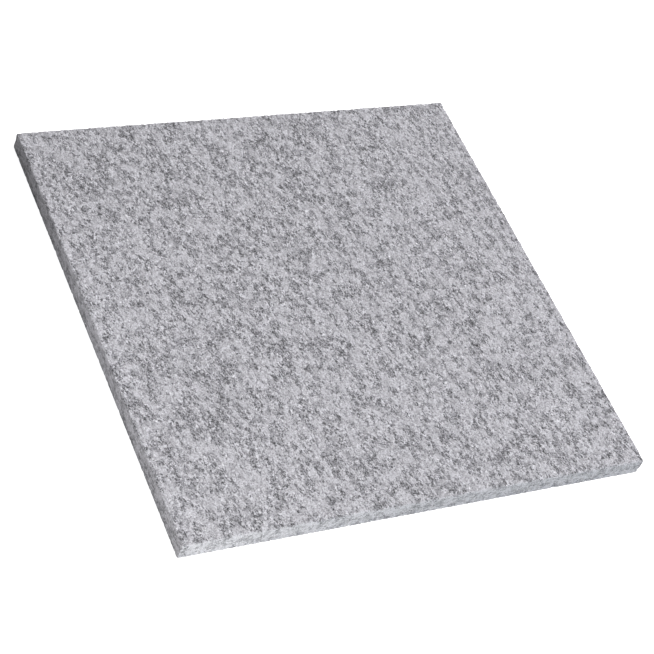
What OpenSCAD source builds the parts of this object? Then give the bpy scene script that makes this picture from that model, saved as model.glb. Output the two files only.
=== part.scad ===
// Granite bench slab: one square, monolithic block of stone that gives leather a hard, flat,
// heavy base for stamping, punching and setting. It rests on its sawn underside, and its
// flamed work face is on top.
// Frame: +Z is up, and the origin is the centre of the underside.

/* [Slab] */
// Length of each of the four sides
side_length = 500; // [300:10:750]
// Height from the sawn underside to the highest grains of the work face
thickness = 20; // [12:1:40]

/* [Arrises] */
// Width of the bevel where the flamed work face meets the four sawn sides
work_arris = 1.0; // [0.2:0.1:3]
// Width of the bevel where the underside meets the four sawn sides
rest_arris = 0.5; // [0.2:0.1:3]
// Width of the bevel down each of the four upright corners
corner_arris = 0.8; // [0.2:0.1:3]

/* [Hidden] */

half_side = side_length / 2;

// Outline across the slab: a flat bar whose lower and upper arrises are bevelled at 45 degrees.
// The first coordinate runs across the slab and the second runs up from the underside.
section_outline = [
    [-half_side + rest_arris, 0],
    [half_side - rest_arris, 0],
    [half_side, rest_arris],
    [half_side, thickness - work_arris],
    [half_side - work_arris, thickness],
    [-half_side + work_arris, thickness],
    [-half_side, thickness - work_arris],
    [-half_side, rest_arris]
];

// The section drawn out along Y, so that it bevels the arrises of the two sides that face X.
module section_bar() {
    rotate([90, 0, 0])
        linear_extrude(height = side_length, center = true)
            polygon(section_outline);
}

// The plan seen from above: a square whose four corners are bevelled at 45 degrees.
module plan_block() {
    cut_diagonal = (2 * half_side - corner_arris) * sqrt(2);
    linear_extrude(height = thickness)
        intersection() {
            square(side_length, center = true);
            rotate(45) square(cut_diagonal, center = true);
        }
}

// The whole stone is what two crossed bars and the bevelled plan have in common.
module granite_slab() {
    color([0.66, 0.66, 0.68])
        intersection() {
            section_bar();
            rotate(90) section_bar();
            plan_block();
        }
}

granite_slab();
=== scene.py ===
"""Looks for the granite bench slab: a flamed work face, sawn sides and underside, and broken
arrises. One set of fields gives the rock its grains, in the relief as well as in the colour."""

import math

import bpy
import numpy as np
from mathutils import Matrix, Vector


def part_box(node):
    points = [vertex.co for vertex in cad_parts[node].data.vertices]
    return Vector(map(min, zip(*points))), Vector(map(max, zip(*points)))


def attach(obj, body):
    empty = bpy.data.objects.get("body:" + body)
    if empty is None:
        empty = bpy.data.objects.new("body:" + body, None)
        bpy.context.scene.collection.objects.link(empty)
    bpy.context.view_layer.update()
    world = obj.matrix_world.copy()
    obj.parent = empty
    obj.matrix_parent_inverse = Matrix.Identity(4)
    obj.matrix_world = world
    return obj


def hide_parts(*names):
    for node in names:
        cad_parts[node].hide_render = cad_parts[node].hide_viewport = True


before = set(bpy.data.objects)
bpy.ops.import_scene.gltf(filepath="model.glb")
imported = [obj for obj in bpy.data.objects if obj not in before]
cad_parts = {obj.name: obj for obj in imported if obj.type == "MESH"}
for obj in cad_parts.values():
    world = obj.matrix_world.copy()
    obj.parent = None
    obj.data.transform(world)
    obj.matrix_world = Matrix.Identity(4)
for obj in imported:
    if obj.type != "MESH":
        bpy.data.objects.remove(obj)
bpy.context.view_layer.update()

MM = 0.001
slab_low, slab_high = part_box("granite_slab")
SIDE = slab_high.x - slab_low.x
HALF = SIDE / 2
TOP = slab_high.z

# Names of the values that the mesh carries for its materials.
STONE_PLACE = "stone_place"
BROKEN = "broken"


# ---- Node trees, for shaders and for geometry ------------------------------------------------


class Field:
    """A value in a node tree. Python's arithmetic signs add Math nodes to the tree."""

    def __init__(self, graph, socket, vector=False):
        self.graph = graph
        self.socket = socket
        self.vector = vector

    def __add__(self, other):
        return self.graph.math("ADD", self, other)

    def __radd__(self, other):
        return self.graph.math("ADD", other, self)

    def __sub__(self, other):
        return self.graph.math("SUBTRACT", self, other)

    def __rsub__(self, other):
        return self.graph.math("SUBTRACT", other, self)

    def __mul__(self, other):
        return self.graph.math("MULTIPLY", self, other)

    def __rmul__(self, other):
        return self.graph.math("MULTIPLY", other, self)


class Graph:
    """Adds nodes to one tree. The same calls serve a shader tree and a geometry tree."""

    def __init__(self, tree):
        self.tree = tree

    def node(self, kind, inputs, **settings):
        """Adds a node and feeds its inputs with Fields, numbers or vectors."""
        made = self.tree.nodes.new(kind)
        for name, value in settings.items():
            setattr(made, name, value)
        for key, value in inputs.items():
            if isinstance(value, Field):
                self.tree.links.new(value.socket, made.inputs[key])
            else:
                made.inputs[key].default_value = value
        return made

    def math(self, operation, *terms):
        """Arithmetic on numbers, or on vectors if any of the terms is one."""
        if any(isinstance(t, Field) and t.vector for t in terms):
            return self.vector_math(operation, *terms)
        made = self.node("ShaderNodeMath", dict(enumerate(terms)), operation=operation)
        return Field(self, made.outputs[0])

    def vector_math(self, operation, *terms):
        """Arithmetic on vectors, where a plain number stands for a vector of equal parts."""
        full = [(t, t, t) if isinstance(t, (int, float)) else t for t in terms]
        made = self.node("ShaderNodeVectorMath", dict(enumerate(full)), operation=operation)
        return Field(self, made.outputs["Vector"], vector=True)

    def dot(self, a, b):
        """The dot product of two vectors."""
        made = self.node("ShaderNodeVectorMath", {0: a, 1: b}, operation="DOT_PRODUCT")
        return Field(self, made.outputs["Value"])

    def parts(self, vector):
        """The x, y and z of a vector, or the three channels of a colour."""
        made = self.node("ShaderNodeSeparateXYZ", {0: vector})
        return [Field(self, out) for out in made.outputs]

    def join(self, x, y, z):
        """A vector of three numbers."""
        made = self.node("ShaderNodeCombineXYZ", {0: x, 1: y, 2: z})
        return Field(self, made.outputs[0], vector=True)

    def spread(self, value):
        """A vector whose three parts are all the same number."""
        return self.join(value, value, value)

    def noise(self, place, size, detail=0.0, roughness=0.5):
        """Smooth noise from 0 to 1 whose largest features are about size millimetres."""
        made = self.noise_node(place, size, detail, roughness)
        return Field(self, made.outputs["Fac"])

    def noise_vector(self, place, size, detail):
        """Three smooth noises at once, as a vector."""
        made = self.noise_node(place, size, detail, 0.5)
        return Field(self, made.outputs["Color"], vector=True)

    def noise_node(self, place, size, detail, roughness):
        inputs = {"Vector": place, "Scale": 1 / size, "Detail": detail, "Roughness": roughness}
        return self.node("ShaderNodeTexNoise", inputs)

    def cells(self, place, size):
        """The grain that a place lies in: three random values and the grain's centre."""
        made = self.node("ShaderNodeTexVoronoi", {"Vector": place, "Scale": 1 / size})
        random = Field(self, made.outputs["Color"], vector=True)
        centre = Field(self, made.outputs["Position"], vector=True)
        return random, centre

    def rise(self, value, start, end):
        """0 below start, 1 above end, and a smooth step between them."""
        inputs = {"Value": value, "From Min": start, "From Max": end}
        made = self.node("ShaderNodeMapRange", inputs, interpolation_type="SMOOTHSTEP")
        return Field(self, made.outputs["Result"])

    def mix(self, share, first, second):
        """The first colour at share 0 and the second at share 1."""
        made = self.node("ShaderNodeMix", {0: share, 6: first, 7: second}, data_type="RGBA")
        return Field(self, made.outputs[2], vector=True)

    def keep(self, shape, name, value, data_type):
        """The shape with a value stored on its points under a name."""
        inputs = {"Geometry": shape, "Name": name, "Value": value}
        made = self.node("GeometryNodeStoreNamedAttribute", inputs, data_type=data_type)
        return Field(self, made.outputs[0])


# ---- The stone: fields that both the relief and the colour read, in millimetres --------------

# The rock's foliation stretches its grains along Y and leans them over. The grit follows less.
FOLIATION = 0.58
FOLIATION_LEAN = 0.12
GRIT_FOLIATION = 0.9

# Sizes of what the rock holds, from the slow drift of its clusters down to its grit.
DRIFT_SIZE = 40.0
CLUSTER_SIZE = 7.6
GRAIN_SIZE = 2.3
FLECK_SIZE = 1.35
GRIT_SIZE = 1.3

# The stirring that turns the straight-sided cells into ragged, interlocking grains.
STIR_SIZE = 1.9
STIR_REACH = 2.0

# How much a grain's own random number and the drift weigh on its quartz beside its cluster,
# and how much the cluster weighs on mica.
GRAIN_ON_QUARTZ = 0.32
DRIFT_ON_QUARTZ = 0.12
CLUSTER_ON_MICA = 1.3

# The values at which a mineral starts to show and at which it is full.
QUARTZ_RISE = (0.43, 0.65)
MURK_RISE = (0.40, 0.62)
MICA_RISE = (0.87, 0.97)
# Painted glints: the white specks stand for white feldspar and also for glints of light on
# crystal faces.
WHITE_FLECK_AND_GLINT_RISE = (0.93, 0.99)

# The flamed face, in millimetres: how deep its grains lie, how far they differ and tilt, how
# far quartz has spalled, the slow swell of the face, and its pits.
GRAIN_LEVEL = 0.10
GRAIN_STEP = 0.50
GRAIN_TILT = 0.50
QUARTZ_SPALL = 0.25
SWELL_SIZE = 22.0
SWELL_DEPTH = 0.5
PIT_SIZE = 4.5
PIT_DEPTH = 0.6
PIT_RISE = (0.58, 0.74)
DEEPEST = 1.4


def stone_fields(g, place):
    """What the stone holds at a place, and the random number and the facet of its grain."""
    x, y, z = g.parts(place)
    along = g.join(x + y * FOLIATION_LEAN, y * FOLIATION, z)
    stirred = along + (g.noise_vector(along, STIR_SIZE, detail=3.0) - 0.5) * STIR_REACH
    random, centre = g.cells(stirred, GRAIN_SIZE)
    own, _, _ = g.parts(random)
    cluster = g.noise(along, CLUSTER_SIZE, detail=3.0, roughness=0.6)
    drift = g.noise(along, DRIFT_SIZE, detail=1.0)
    quartz = cluster + (own - 0.5) * GRAIN_ON_QUARTZ + (drift - 0.5) * DRIFT_ON_QUARTZ
    fleck, _ = g.cells(stirred, FLECK_SIZE)
    fleck_own, fleck_shade, _ = g.parts(fleck)
    return {
        "own": own,
        "quartz": g.rise(quartz, *QUARTZ_RISE),
        "murk": g.rise(cluster, *MURK_RISE),
        "mica": g.rise(fleck_own + (cluster - 0.5) * CLUSTER_ON_MICA, *MICA_RISE),
        "white_fleck_and_glint": g.rise(fleck_shade, *WHITE_FLECK_AND_GLINT_RISE),
        "facet": g.dot(stirred - centre, random - 0.5),
        # The grit is a fine relief for the bump, and the colour paints shade into its hollows and
        # light onto its raised bits.
        "grit": g.noise(g.join(x, y * GRIT_FOLIATION, z), GRIT_SIZE, detail=1.0),
    }


def flamed_depth(g, place, stone):
    """Depth of the flamed face below its highest grains: facets, spalled quartz and pits."""
    swell = g.noise(place, SWELL_SIZE, detail=1.0)
    pit = g.rise(g.noise(place, PIT_SIZE, detail=2.0), *PIT_RISE)
    depth = GRAIN_LEVEL + GRAIN_STEP * stone["own"] - GRAIN_TILT * stone["facet"]
    depth = depth + QUARTZ_SPALL * stone["quartz"] + SWELL_DEPTH * (swell - 0.5)
    depth = depth + PIT_DEPTH * pit
    return g.math("MINIMUM", g.math("MAXIMUM", depth, 0.0), DEEPEST)


# ---- The mesh ---------------------------------------------------------------------------------

# Cells along each side of the work face, rows of cells down each sawn side, the margin that
# the underside's arrises take, and the coarser cells of the rest of the underside.
TOP_CELLS = 288
SIDE_ROWS = 11
BASE_MARGIN = 1.5 * MM
BASE_CELLS = 36
FINE_PER_BASE = TOP_CELLS // BASE_CELLS

# How far the work face's points are shifted at random, in cells.
JITTER = 0.3
JITTER_SEED = 7


def ring_steps(cells):
    """Grid steps round the edge of a square of cells, anticlockwise seen from above."""
    run = range(cells)
    front = [(i, 0) for i in run]
    right = [(cells, i) for i in run]
    back = [(cells - i, cells) for i in run]
    left = [(0, cells - i) for i in run]
    return front + right + back + left


def top_points():
    """The work face's grid, whose inner points are shifted a little to hide the grid."""
    steps = np.linspace(-HALF, HALF, TOP_CELLS + 1)
    x, y = np.meshgrid(steps, steps)
    draw = np.random.default_rng(JITTER_SEED)
    shift = draw.uniform(-JITTER, JITTER, (2, *x.shape)) * SIDE / TOP_CELLS
    inner = np.zeros_like(x)
    inner[1:-1, 1:-1] = 1
    points = np.stack([x + shift[0] * inner, y + shift[1] * inner, np.full_like(x, TOP)], -1)
    return points.reshape(-1, 3)


def side_points():
    """Rings of points down the four sides, and a last one on the underside, inside its margin."""
    ring = np.array(ring_steps(TOP_CELLS)) * (SIDE / TOP_CELLS) - HALF
    heights = np.linspace(TOP, 0, SIDE_ROWS + 1)[1:]
    rings = [np.column_stack([ring, np.full(len(ring), z)]) for z in heights]
    rings.append(np.column_stack([ring * (1 - BASE_MARGIN / HALF), np.zeros(len(ring))]))
    return np.concatenate(rings)


def base_points():
    """The inner points of the underside's coarse grid."""
    steps = np.linspace(-HALF, HALF, BASE_CELLS + 1)[1:-1]
    x, y = np.meshgrid(steps, steps)
    return np.stack([x, y, np.zeros_like(x)], -1).reshape(-1, 3)


def top_faces():
    """The work face's quads, row by row."""
    cols, rows = np.meshgrid(np.arange(TOP_CELLS), np.arange(TOP_CELLS))
    first = (rows * (TOP_CELLS + 1) + cols).ravel()
    up = first + TOP_CELLS + 1
    return np.column_stack([first, first + 1, up + 1, up]).tolist()


def side_faces(first_ring):
    """Quads between neighbouring rings, where first_ring is the edge of the work face."""
    count = len(first_ring)
    start = (TOP_CELLS + 1) ** 2
    lower_rings = [start + row * count + np.arange(count) for row in range(SIDE_ROWS + 1)]
    rings = [first_ring] + lower_rings
    faces = []
    for upper, lower in zip(rings, rings[1:]):
        quads = np.column_stack([upper, lower, np.roll(lower, -1), np.roll(upper, -1)])
        faces += quads.tolist()
    return faces, rings[-1]


def base_faces(last_ring, start):
    """The underside's cells. Those on its edge also take in the finer points of the ring."""
    ring_of = dict(zip(ring_steps(TOP_CELLS), last_ring.tolist()))

    def corner(i, j):
        fine = (i * FINE_PER_BASE, j * FINE_PER_BASE)
        return ring_of.get(fine, start + (j - 1) * (BASE_CELLS - 1) + i - 1)

    def edge(a, b):
        """Points from corner a up to, and without, corner b."""
        line = [corner(*a)]
        step_x, step_y = b[0] - a[0], b[1] - a[1]
        for k in range(1, FINE_PER_BASE):
            fine = (a[0] * FINE_PER_BASE + step_x * k, a[1] * FINE_PER_BASE + step_y * k)
            if fine in ring_of:
                line.append(ring_of[fine])
        return line

    faces = []
    for j in range(BASE_CELLS):
        for i in range(BASE_CELLS):
            around = [(i, j), (i, j + 1), (i + 1, j + 1), (i + 1, j)]
            edges = zip(around, around[1:] + around[:1])
            faces.append([point for a, b in edges for point in edge(a, b)])
    return faces


def build_slab_mesh():
    """One closed mesh on the CAD box: fine on the work face and sides, coarse underneath."""
    grid = [j * (TOP_CELLS + 1) + i for i, j in ring_steps(TOP_CELLS)]
    points = np.concatenate([top_points(), side_points(), base_points()])
    sides, last_ring = side_faces(np.array(grid))
    tops = top_faces()
    bases = base_faces(last_ring, int(last_ring[-1]) + 1)
    mesh = bpy.data.meshes.new("stone_slab")
    mesh.from_pydata(points.tolist(), [], tops + sides + bases)
    sawn = [0] * len(tops) + [1] * (len(sides) + len(bases))
    mesh.polygons.foreach_set("material_index", sawn)
    mesh.update()
    return mesh


# ---- The relief -------------------------------------------------------------------------------

# The broken arrises, in millimetres: their least width, what the nicks add to it, the size of
# the nicks, and the values of the noise at which a nick starts and is full. The work face's
# arrises ripple as well, and they are chipped the most within FRONT_REACH of the front side.
TOP_ARRIS = 0.3
TOP_NICK = 1.2
TOP_NICK_SIZE = 7.0
TOP_NICK_RISE = (0.52, 0.74)
FRONT_NICK = 1.8
FRONT_REACH = 3.0
RIPPLE = 0.7
RIPPLE_SIZE = 2.5
BASE_ARRIS = 0.3
BASE_NICK = 0.9
BASE_NICK_SIZE = 5.0
BASE_NICK_RISE = (0.50, 0.70)
CORNER_ARRIS = 0.5
CORNER_NICK = 0.9
CORNER_NICK_SIZE = 6.0
CORNER_NICK_RISE = (0.55, 0.75)

# A point is on the work face if it is no further below it than this, in millimetres.
ON_TOP = 0.01

# An edge between faces that meet at a larger angle than this is shaded as a sharp one.
SHARP_ANGLE = math.radians(60)


def arris_cut(g, depth_a, depth_b, width, inward_a, inward_b):
    """Moves points near the edge where two faces meet onto a bevel of the given width."""
    reach = g.math("MAXIMUM", width - depth_a - depth_b, 0.0)
    return (inward_a + inward_b) * g.spread(reach) * 0.5, reach


def broken_arrises(g, place):
    """How each point moves to break the arrises, and how much of the stone is lost there."""
    x, y, z = g.parts(place)
    from_x = HALF / MM - g.math("ABSOLUTE", x)
    from_y = HALF / MM - g.math("ABSOLUTE", y)
    from_top = TOP / MM - z
    in_x = g.join(g.math("SIGN", x) * -1.0, 0.0, 0.0)
    in_y = g.join(0.0, g.math("SIGN", y) * -1.0, 0.0)
    down = g.join(0.0, 0.0, -1.0)
    up = g.join(0.0, 0.0, 1.0)

    plan = place * Vector((1.0, 1.0, 0.0))
    front = g.math("LESS_THAN", from_y, FRONT_REACH) * g.math("LESS_THAN", y, 0.0)
    top_nick = g.rise(g.noise(plan, TOP_NICK_SIZE, detail=2.0), *TOP_NICK_RISE)
    base_nick = g.rise(g.noise(plan, BASE_NICK_SIZE, detail=2.0), *BASE_NICK_RISE)
    corner_nick = g.rise(g.noise(place, CORNER_NICK_SIZE), *CORNER_NICK_RISE)
    top_width = TOP_ARRIS + (TOP_NICK + FRONT_NICK * front) * top_nick
    top_width = top_width + RIPPLE * g.noise(plan, RIPPLE_SIZE)
    base_width = BASE_ARRIS + BASE_NICK * base_nick
    corner_width = CORNER_ARRIS + CORNER_NICK * corner_nick

    offset, lost = arris_cut(g, from_x, from_top, top_width, in_x, down)
    for move, reach in (
        arris_cut(g, from_y, from_top, top_width, in_y, down),
        arris_cut(g, from_x, from_y, corner_width, in_x, in_y),
        arris_cut(g, from_x, z, base_width, in_x, up),
        arris_cut(g, from_y, z, base_width, in_y, up),
    ):
        offset = offset + move
        lost = lost + reach
    return offset, lost


def relief_tree():
    """Sinks the work face grain by grain and breaks the arrises. Lengths are millimetres."""
    tree = bpy.data.node_groups.new("stone_relief", "GeometryNodeTree")
    for direction in ("INPUT", "OUTPUT"):
        tree.interface.new_socket("Geometry", in_out=direction, socket_type="NodeSocketGeometry")
    g = Graph(tree)
    shape = Field(g, g.node("NodeGroupInput", {}).outputs[0])
    position = Field(g, g.node("GeometryNodeInputPosition", {}).outputs[0], vector=True)
    place = position * (1 / MM)
    depth = flamed_depth(g, place, stone_fields(g, place))
    on_top = g.math("GREATER_THAN", g.parts(place)[2], TOP / MM - ON_TOP)
    offset, lost = broken_arrises(g, place)
    offset = offset - g.join(0.0, 0.0, depth * on_top)

    shape = g.keep(shape, STONE_PLACE, place, "FLOAT_VECTOR")
    shape = g.keep(shape, BROKEN, lost, "FLOAT")
    moved = g.node("GeometryNodeSetPosition", {"Geometry": shape, "Offset": offset * MM})
    g.node("NodeGroupOutput", {0: Field(g, moved.outputs[0])})
    return tree


def apply_relief(piece):
    """Runs the relief tree once and keeps its result as the piece's own mesh."""
    carve = piece.modifiers.new("relief", "NODES")
    carve.node_group = relief_tree()
    bpy.context.view_layer.update()
    evaluated = piece.evaluated_get(bpy.context.evaluated_depsgraph_get())
    carved = bpy.data.meshes.new_from_object(evaluated)
    piece.modifiers.clear()
    piece.data = carved
    carved.name = piece.name
    carved.polygons.foreach_set("use_smooth", [True] * len(carved.polygons))
    carved.set_sharp_from_angle(angle=SHARP_ANGLE)


# ---- Materials --------------------------------------------------------------------------------

FELDSPAR = (0.532, 0.524, 0.563, 1.0)
WARM_FELDSPAR = (0.476, 0.466, 0.502, 1.0)
QUARTZ = (0.322, 0.318, 0.343, 1.0)
MICA = (0.120, 0.118, 0.128, 1.0)
# The white specks' colour, which is partly white feldspar and partly painted glint.
WHITE = (0.760, 0.750, 0.790, 1.0)

# How strongly the white specks (white feldspar and painted glints), mica and the grit colour the
# stone, where the grit is painted shade in its hollows, with a little dust, and painted light on
# its raised bits; how strongly clear rock is so shaded and what murky rock adds to that, and how
# much of it all a flamed and a sawn face show.
WHITE_FLECK_AND_GLINT_STRENGTH = 0.55
MICA_STRENGTH = 0.9
GRIT_SHADE_STRENGTH = 1.6
CLEAR_GRIT_SHADE = 0.74
MURKY_GRIT_SHADE = 0.66
FLAMED_CONTRAST = 1.0
SAWN_CONTRAST = 0.75

# Gloss, then roughness: each face's own, and what grains, mica and broken arrises change in it.
SPECULAR = 0.35
FLAMED_ROUGHNESS = 0.72
FLAMED_GRAIN_ROUGHNESS = 0.16
MICA_GLOSS = 0.25
SAWN_ROUGHNESS = 0.55
SAWN_GRAIN_ROUGHNESS = 0.15
BROKEN_ROUGHNESS = 0.2

# Bump of the flamed face: its height, and the shares of facets, whole grains and grit in it.
FLAMED_BUMP = 1.0 * MM
FACET_SHARE = 0.50
GRAIN_SHARE = 0.30
GRIT_SHARE = 1.0

# Bump of a sawn face: its height, and the shares of level saw lines, of fine grain, and of a
# broken arris, which starts and is full at these millimetres of lost stone.
SAWN_BUMP = 0.6 * MM
SAW_LINE_SIZE = 0.8
SAW_LINE_STRETCH = Vector((0.05, 0.05, 1.0))
SAW_LINE_SHARE = 0.08
FINE_SIZE = 1.3
FINE_SHARE = 0.08
BROKEN_SHARE = 0.7
BROKEN_RISE = (0.1, 0.8)


def granite_start(name):
    """A material, its node builder, its Principled node and the stone's place and fields."""
    material = bpy.data.materials.new(name)
    material.use_nodes = True
    g = Graph(material.node_tree)
    surface = material.node_tree.nodes["Principled BSDF"]
    carried = g.node("ShaderNodeAttribute", {}, attribute_name=STONE_PLACE)
    place = Field(g, carried.outputs["Vector"], vector=True)
    return material, g, surface, place, stone_fields(g, place)


def mineral_colour(g, stone, contrast):
    """Feldspar of two tints, quartz, white specks that are partly painted glints, and mica, with
    painted shade in the grit's hollows and painted light on its raised bits, most of all in the
    quartz.
    """
    colour = g.mix(stone["own"], FELDSPAR, WARM_FELDSPAR)
    colour = g.mix(stone["quartz"], colour, QUARTZ)
    # Painted glints: white specks, part white feldspar and part painted glints of light.
    colour = g.mix(stone["white_fleck_and_glint"] * contrast * WHITE_FLECK_AND_GLINT_STRENGTH, colour, WHITE)
    colour = g.mix(stone["mica"] * contrast * MICA_STRENGTH, colour, MICA)
    # Painted shade and light: the grit's hollows are darkened as shade, with a little dust, and
    # its raised bits are lightened, more so in murky rock.
    hollow_shade = g.math("MAXIMUM", 0.5 - stone["grit"], 0.0)
    grit_shade_amount = CLEAR_GRIT_SHADE + MURKY_GRIT_SHADE * stone["murk"]
    grit_light_shade_and_dust = 1.0 + ((stone["grit"] - 0.5) * GRIT_SHADE_STRENGTH - hollow_shade) * grit_shade_amount * contrast
    return colour * g.spread(grit_light_shade_and_dust)


def finish_surface(g, surface, colour, rough, height, distance):
    """Feeds a material's colour, roughness and bump to its Principled node."""
    bump = g.node("ShaderNodeBump", {"Strength": 1.0, "Distance": distance, "Height": height})
    g.tree.links.new(colour.socket, surface.inputs["Base Color"])
    g.tree.links.new(rough.socket, surface.inputs["Roughness"])
    g.tree.links.new(bump.outputs["Normal"], surface.inputs["Normal"])
    surface.inputs["Specular IOR Level"].default_value = SPECULAR


def flamed_granite():
    """The work face: matt and crystalline, with glossier mica and a bump that follows grains."""
    material, g, surface, _, stone = granite_start("flamed_granite")
    colour = mineral_colour(g, stone, FLAMED_CONTRAST)
    rough = FLAMED_ROUGHNESS + FLAMED_GRAIN_ROUGHNESS * stone["own"] - MICA_GLOSS * stone["mica"]
    height = FACET_SHARE * stone["facet"] - GRAIN_SHARE * stone["own"]
    height = height + GRIT_SHARE * stone["grit"]
    finish_surface(g, surface, colour, rough, height, FLAMED_BUMP)
    return material


def sawn_granite():
    """The sides and underside: flat and close-grained, with saw lines and rougher arrises."""
    material, g, surface, place, stone = granite_start("sawn_granite")
    lost = g.node("ShaderNodeAttribute", {}, attribute_name=BROKEN)
    broken = g.rise(Field(g, lost.outputs["Fac"]), *BROKEN_RISE)
    colour = mineral_colour(g, stone, SAWN_CONTRAST)
    rough = SAWN_ROUGHNESS + SAWN_GRAIN_ROUGHNESS * stone["own"] + BROKEN_ROUGHNESS * broken
    lines = g.noise(place * SAW_LINE_STRETCH, SAW_LINE_SIZE, detail=2.0)
    fine = g.noise(place, FINE_SIZE, detail=3.0, roughness=0.65)
    height = SAW_LINE_SHARE * lines + fine * (FINE_SHARE + BROKEN_SHARE * broken)
    finish_surface(g, surface, colour, rough, height, SAWN_BUMP)
    return material


# ---- The stage --------------------------------------------------------------------------------

# The floor lights the slab as a mid grey, and glows for the camera so that it looks white.
FLOOR_SIZE = 28 * SIDE
FLOOR_GREY = (0.5, 0.5, 0.5, 1.0)
FLOOR_ROUGHNESS = 0.9
FLOOR_GLOW = 0.97

# The surroundings are dim as a light. They are as white as the floor's glow.
WORLD_LIGHT = 0.05
PLAIN_WHITE = (1.0, 1.0, 1.0, 1.0)


def seen_by_camera(g):
    """1 for what the camera sees itself, and 0 for what lights or mirrors."""
    return Field(g, g.node("ShaderNodeLightPath", {}).outputs["Is Camera Ray"])


def lay_floor():
    """A plain pale floor, bright enough to the camera that no shadow shows on it."""
    bpy.ops.mesh.primitive_plane_add(size=FLOOR_SIZE)
    floor = bpy.context.object
    floor.name = "floor"
    material = bpy.data.materials.new("floor_white")
    material.use_nodes = True
    surface = material.node_tree.nodes["Principled BSDF"]
    surface.inputs["Base Color"].default_value = FLOOR_GREY
    surface.inputs["Roughness"].default_value = FLOOR_ROUGHNESS
    surface.inputs["Specular IOR Level"].default_value = 0.0
    surface.inputs["Emission Color"].default_value = PLAIN_WHITE
    g = Graph(material.node_tree)
    glow = seen_by_camera(g) * FLOOR_GLOW
    g.tree.links.new(glow.socket, surface.inputs["Emission Strength"])
    floor.data.materials.append(material)


def light_world():
    """Plain white surroundings, dim as a light and bright as a backdrop."""
    world = bpy.data.worlds.new("studio")
    world.use_nodes = True
    bpy.context.scene.world = world
    g = Graph(world.node_tree)
    strength = WORLD_LIGHT + seen_by_camera(g)
    background = world.node_tree.nodes["Background"]
    background.inputs["Color"].default_value = PLAIN_WHITE
    g.tree.links.new(strength.socket, background.inputs["Strength"])


def hang_light(name, place, target, size, power, colour=(1.0, 1.0, 1.0)):
    """A square soft box that faces a point. Lengths are in slab sides, and power is in watts
    for a square metre of slab, so that the light is the same on a slab of any size."""
    light = bpy.data.lights.new(name, "AREA")
    light.size = size * SIDE
    light.energy = power * SIDE**2
    light.color = colour
    lamp = bpy.data.objects.new(name, light)
    lamp.location = Vector(place) * SIDE
    lamp.visible_camera = False
    lamp.rotation_mode = "QUATERNION"
    lamp.rotation_quaternion = (Vector(target) - Vector(place)).to_track_quat("-Z", "Y")
    bpy.context.scene.collection.objects.link(lamp)


def hang_lights():
    """Two large soft boxes, and cards that light the front side and the left side."""
    centre = (0.0, 0.0, 0.0)
    left_near = (-0.50, -0.40, 0.02)
    left_far = (-0.50, 0.04, 0.02)
    near_corner = (-0.38, -0.50, 0.02)
    cool = (0.80, 0.97, 1.0)
    warm = (1.0, 0.99, 0.92)
    hang_light("key", (1.90, -3.30, 6.10), centre, 2.4, 488)
    hang_light("back", (3.34, 5.78, 2.70), centre, 2.4, 300)
    hang_light("front_card", (1.24, -7.06, 0.76), centre, 2.0, 132, cool)
    hang_light("left_card", (-1.00, -0.40, 0.20), left_near, 0.3, 1.0)
    hang_light("far_card", (-0.84, 0.04, 0.16), left_far, 0.2, 0.33)
    hang_light("corner_card", (-0.60, -1.00, 0.16), near_corner, 0.24, 1.6, warm)


# The camera's line of sight and its turn about that line, then its distance, lens and aim.
CAMERA_HEADING = math.radians(41.711)
CAMERA_ELEVATION = math.radians(46.234)
CAMERA_ROLL = math.radians(-25.234)
CAMERA_DISTANCE = 3.7376 * SIDE
CAMERA_LENS = 104.7
CAMERA_NEAR = 0.02 * SIDE
AIM = Vector((-0.0353 * SIDE, -0.0761 * SIDE, TOP))


def place_camera():
    """The camera looks down on the near corner, turned about its own line of sight."""
    upright = Vector((0, 0, 1))
    flat = Vector((math.sin(CAMERA_HEADING), math.cos(CAMERA_HEADING), 0.0))
    forward = flat * math.cos(CAMERA_ELEVATION) - upright * math.sin(CAMERA_ELEVATION)
    right = forward.cross(upright).normalized()
    up = right.cross(forward)
    roll_up = up * math.cos(CAMERA_ROLL) + right * math.sin(CAMERA_ROLL)
    roll_right = forward.cross(roll_up)
    camera = bpy.data.objects.new("camera", bpy.data.cameras.new("camera"))
    turn = Matrix((roll_right, roll_up, -forward)).transposed().to_4x4()
    camera.matrix_world = Matrix.Translation(AIM - forward * CAMERA_DISTANCE) @ turn
    camera.data.lens = CAMERA_LENS
    camera.data.clip_start = CAMERA_NEAR
    bpy.context.scene.collection.objects.link(camera)
    bpy.context.scene.camera = camera


# ---- The whole --------------------------------------------------------------------------------


def make_slab():
    """The one piece: the whole stone, which stands for the CAD slab."""
    slab = bpy.data.objects.new("stone_slab", build_slab_mesh())
    bpy.context.scene.collection.objects.link(slab)
    apply_relief(slab)
    slab.data.materials.append(flamed_granite())
    slab.data.materials.append(sawn_granite())
    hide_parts("granite_slab")
    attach(slab, "root")


make_slab()
lay_floor()
light_world()
hang_lights()
place_camera()
bpy.context.scene.view_settings.view_transform = "Standard"
